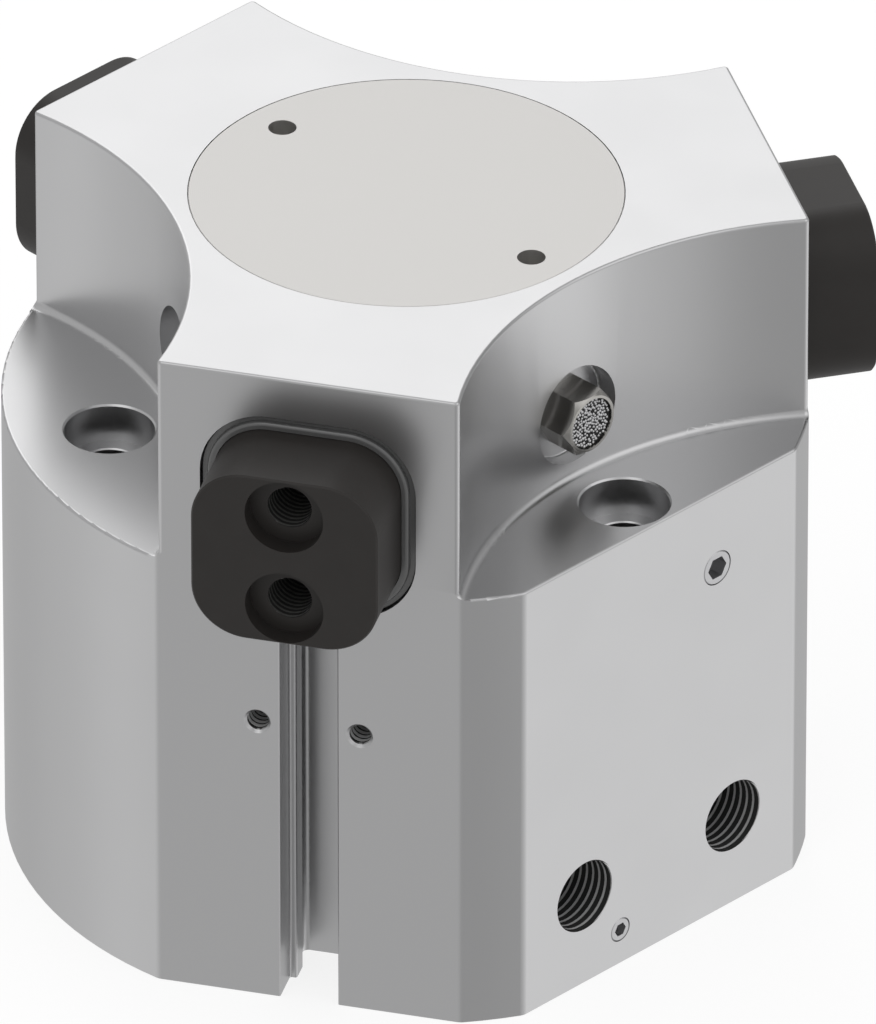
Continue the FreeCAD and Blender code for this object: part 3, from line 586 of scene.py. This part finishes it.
# the pieces that stay as the CAD has them, with a finish of their own
innerFinishes = {
    "cover_seal": "blackRubber",
    "end_cap_seal": "blackRubber",
    "rod_seal": "blackRubber",
    "piston_seal": "blackRubber",
    "retaining_ring": "springSteel",
    "rod_bush": "bushBronze",
    "lever_bracket": "anodised",
    # painted shade: near-black for the shade between the breather's grains
    "breather_element": "sinterShadow",
    "piston": "anodised",
    "piston_magnet": "magnetCompound",
    "piston_rod": "groundSteel",
    "rod_screw": "platedSteel",
}
for number in (1, 2, 3):
    innerFinishes["bracket_screw_%d" % number] = "platedSteel"
    innerFinishes["lever_pin_%d" % number] = "groundSteel"
    innerFinishes["lever_%d" % number] = "groundSteel"
for node, finish in innerFinishes.items():
    slots = cadNodes[node].data.materials
    slots.clear()
    slots.append(materials[finish])
print("other nodes dressed")


# the porous disc's grains; margin and sunk are shares of a bead's diameter
beads = {
    "diameter": 0.00036,
    "spacing": 0.00029,
    "density": 3.0e7,
    "sizeSpread": 0.18,
    "seed": 5,
    "azimuth": 330,
    "margin": 0.55,
    "sunk": 0.1,
    "discSides": 48,
}
facesPerBead = 80  # of an icosphere at two subdivisions


def beadTree():
    sizes = ("Bead radius", "Spacing", "Density", "Smallest", "Largest")
    tree, given = openTree("sinteredBeads", sizes, "Seed")
    links = tree.links
    scatter = addNode(tree, "GeometryNodeDistributePointsOnFaces", distribute_method="POISSON")
    links.new(given["Geometry"], scatter.inputs["Mesh"])
    links.new(given["Spacing"], scatter.inputs["Distance Min"])
    links.new(given["Density"], scatter.inputs["Density Max"])
    links.new(given["Seed"], scatter.inputs["Seed"])
    ball = addNode(tree, "GeometryNodeMeshIcoSphere")
    ball.inputs["Subdivisions"].default_value = 2
    links.new(given["Bead radius"], ball.inputs["Radius"])
    size = addNode(tree, "FunctionNodeRandomValue", data_type="FLOAT")
    links.new(given["Smallest"], size.inputs["Min"])
    links.new(given["Largest"], size.inputs["Max"])
    links.new(given["Seed"], size.inputs["Seed"])
    copies = addNode(tree, "GeometryNodeInstanceOnPoints")
    links.new(scatter.outputs["Points"], copies.inputs["Points"])
    links.new(ball.outputs["Mesh"], copies.inputs["Instance"])
    links.new(size.outputs["Value"], copies.inputs["Scale"])
    real = passed(tree, copies.outputs["Instances"], "GeometryNodeRealizeInstances")
    smooth = passed(tree, real.outputs["Geometry"], "GeometryNodeSetShadeSmooth")
    return closeTree(tree, smooth.outputs["Geometry"], given["Material"])


def makeBeads():
    low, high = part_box("breather_element")
    centre = (low + high) / 2
    outward = direction(beads["azimuth"])
    corners = cadNodes["breather_element"].data.vertices
    reach = max((v.co - centre).dot(outward) for v in corners)
    radius = (high.z - low.z) / 2 - beads["diameter"] * beads["margin"]
    disc = bmesh.new()
    bmesh.ops.create_circle(disc, cap_ends=True, segments=beads["discSides"], radius=radius)
    mesh = bpy.data.meshes.new("disc")
    disc.to_mesh(mesh)
    disc.free()
    face = centre + outward * (reach - beads["diameter"] * beads["sunk"])
    mesh.transform(placed(outward, face))
    result = runTree(beadTree(), mesh, {
        "Bead radius": beads["diameter"] / 2,
        "Spacing": beads["spacing"],
        "Density": beads["density"],
        "Smallest": 1 - beads["sizeSpread"],
        "Largest": 1 + beads["sizeSpread"],
        "Seed": beads["seed"],
        "Material": materials["beadMetal"],
    })
    result.name = "breatherBeads"
    addPiece("breatherBeads", result, "housing")
    print("beads:", len(result.polygons) // facesPerBead)


makeBeads()


# 1 for a ray of any of the kinds
def anyRay(tree, *kinds):
    rays = addNode(tree, "ShaderNodeLightPath")
    seen = rays.outputs[kinds[0]]
    for kind in kinds[1:]:
        either = addNode(tree, "ShaderNodeMath", operation="MAXIMUM")
        tree.links.new(seen, either.inputs[0])
        tree.links.new(rays.outputs[kind], either.inputs[1])
        seen = either.outputs[0]
    return seen


# leads one of two shaders to the output: the second where choice is 1
def chosen(tree, choice, usual, shown, output):
    choose = addNode(tree, "ShaderNodeMixShader")
    for socket, source in zip(choose.inputs, (choice, usual, shown)):
        tree.links.new(source, socket)
    tree.links.new(choose.outputs[0], addNode(tree, output).inputs["Surface"])


# shadowShare is how much of the shown white the object's shadow can take away, and fullLight
# is how much of it a diffuse floor gives back in the open
floor = {"size": 3.0, "drop": 0.0001, "colour": (0.82, 0.82, 0.82), "shadowShare": 0.22,
         "fullLight": 0.75}


def makeFloor():
    half = floor["size"] / 2
    work = bmesh.new()
    work.faces.new([work.verts.new((x * half, y * half, cadLow.z - floor["drop"]))
                    for x, y in ((-1, -1), (1, -1), (1, 1), (-1, 1))])
    mesh = bpy.data.meshes.new("floor")
    work.to_mesh(mesh)
    work.free()
    piece = bpy.data.objects.new("floor", mesh)
    scene.collection.objects.link(piece)
    material = bpy.data.materials.new("paleFloor")
    material.use_nodes = True
    tree = material.node_tree
    tree.nodes.clear()
    share = floor["shadowShare"]
    lit = addNode(tree, "ShaderNodeBsdfDiffuse")
    lit.inputs["Color"].default_value = (*floor["colour"], 1)
    shadow = addNode(tree, "ShaderNodeBsdfDiffuse")
    shadow.inputs["Color"].default_value = (share, share, share, 1)
    white = addNode(tree, "ShaderNodeEmission")
    white.inputs["Strength"].default_value = 1 - share * floor["fullLight"]
    shown = addNode(tree, "ShaderNodeAddShader")
    tree.links.new(shadow.outputs[0], shown.inputs[0])
    tree.links.new(white.outputs[0], shown.inputs[1])
    seen = anyRay(tree, "Is Camera Ray", "Is Glossy Ray", "Is Transmission Ray")
    chosen(tree, seen, lit.outputs[0], shown.outputs[0], "ShaderNodeOutputMaterial")
    mesh.materials.append(material)
    piece.visible_glossy = False


makeFloor()


# soft boxes round the object, and darker patches where the gain is negative, all in degrees;
# a box is at full gain up to its inner angle from its middle, and ends at its outer one
studio = {
    "level": 0.578,
    "softBoxes": [
        {"azimuth": 120, "elevation": 35, "inner": 3, "outer": 28, "gain": 1.245},
        {"azimuth": 0, "elevation": 40, "inner": 5, "outer": 42, "gain": 0.589},
        {"azimuth": 30, "elevation": -32, "inner": 3, "outer": 30, "gain": 0.405},
        {"azimuth": 0, "elevation": -32, "inner": 3, "outer": 30, "gain": 0.146},
        {"azimuth": 248, "elevation": 55, "inner": 3, "outer": 26, "gain": 0.7},
        {"azimuth": 210, "elevation": -32, "inner": 3, "outer": 30, "gain": 0.171},
        {"azimuth": 180, "elevation": -32, "inner": 3, "outer": 30, "gain": 0.116},
        {"azimuth": 300, "elevation": -32, "inner": 3, "outer": 30, "gain": -0.15},
        {"azimuth": 45, "elevation": 40, "inner": 5, "outer": 42, "gain": -0.15},
        {"azimuth": 45, "elevation": 5, "inner": 5, "outer": 42, "gain": -0.15},
    ],
}


def makeWorld():
    world = bpy.data.worlds.new("studio")
    scene.world = world
    world.use_nodes = True
    tree = world.node_tree
    tree.nodes.clear()
    links = tree.links
    place = addNode(tree, "ShaderNodeTexCoord")
    total = None
    for box in studio["softBoxes"]:
        towards = addNode(tree, "ShaderNodeVectorMath", operation="DOT_PRODUCT")
        towards.inputs[1].default_value = direction(box["azimuth"], box["elevation"])
        links.new(place.outputs["Generated"], towards.inputs[0])
        fade = addNode(tree, "ShaderNodeMapRange", interpolation_type="SMOOTHSTEP")
        fade.inputs["From Min"].default_value = math.cos(math.radians(box["outer"]))
        fade.inputs["From Max"].default_value = math.cos(math.radians(box["inner"]))
        fade.inputs["To Max"].default_value = box["gain"]
        links.new(towards.outputs["Value"], fade.inputs["Value"])
        add = addNode(tree, "ShaderNodeMath", operation="ADD")
        links.new(fade.outputs["Result"], add.inputs[0])
        if total is None:
            add.inputs[1].default_value = studio["level"]
        else:
            links.new(total, add.inputs[1])
        total = add.outputs[0]
    around = addNode(tree, "ShaderNodeBackground")
    white = addNode(tree, "ShaderNodeBackground")
    for background in (around, white):
        background.inputs["Color"].default_value = (1, 1, 1, 1)
    links.new(total, around.inputs["Strength"])
    seen = anyRay(tree, "Is Camera Ray", "Is Transmission Ray")
    chosen(tree, seen, around.outputs[0], white.outputs[0], "ShaderNodeOutputWorld")


makeWorld()

# right and up move the camera sideways, in metres; its azimuth is from -Y, towards +X
viewpoint = {
    "azimuth": 15.04,
    "elevation": 31.96,
    "distance": 3.142,
    "lens": 982.0,
    "sensor": 36,
    "nearest": 0.1,
    "farthest": 20,
    "aimHeight": 0.04,
    "right": 0.00353,
    "up": -0.00069,
}


def makeCamera():
    back = direction(viewpoint["azimuth"] - 90, viewpoint["elevation"])
    right = direction(viewpoint["azimuth"])
    up = back.cross(right)
    data = bpy.data.cameras.new("photoCamera")
    data.sensor_width = viewpoint["sensor"]
    data.lens = viewpoint["lens"]
    data.clip_start = viewpoint["nearest"]
    data.clip_end = viewpoint["farthest"]
    camera = bpy.data.objects.new("photoCamera", data)
    place = Vector((0, 0, viewpoint["aimHeight"])) + back * viewpoint["distance"]
    place += right * viewpoint["right"] + up * viewpoint["up"]
    turn = Matrix((right, up, back)).transposed().to_4x4()
    camera.matrix_world = Matrix.Translation(place) @ turn
    scene.collection.objects.link(camera)
    scene.camera = camera


makeCamera()
scene.view_settings.view_transform = "Standard"
print("stage, light and camera made")
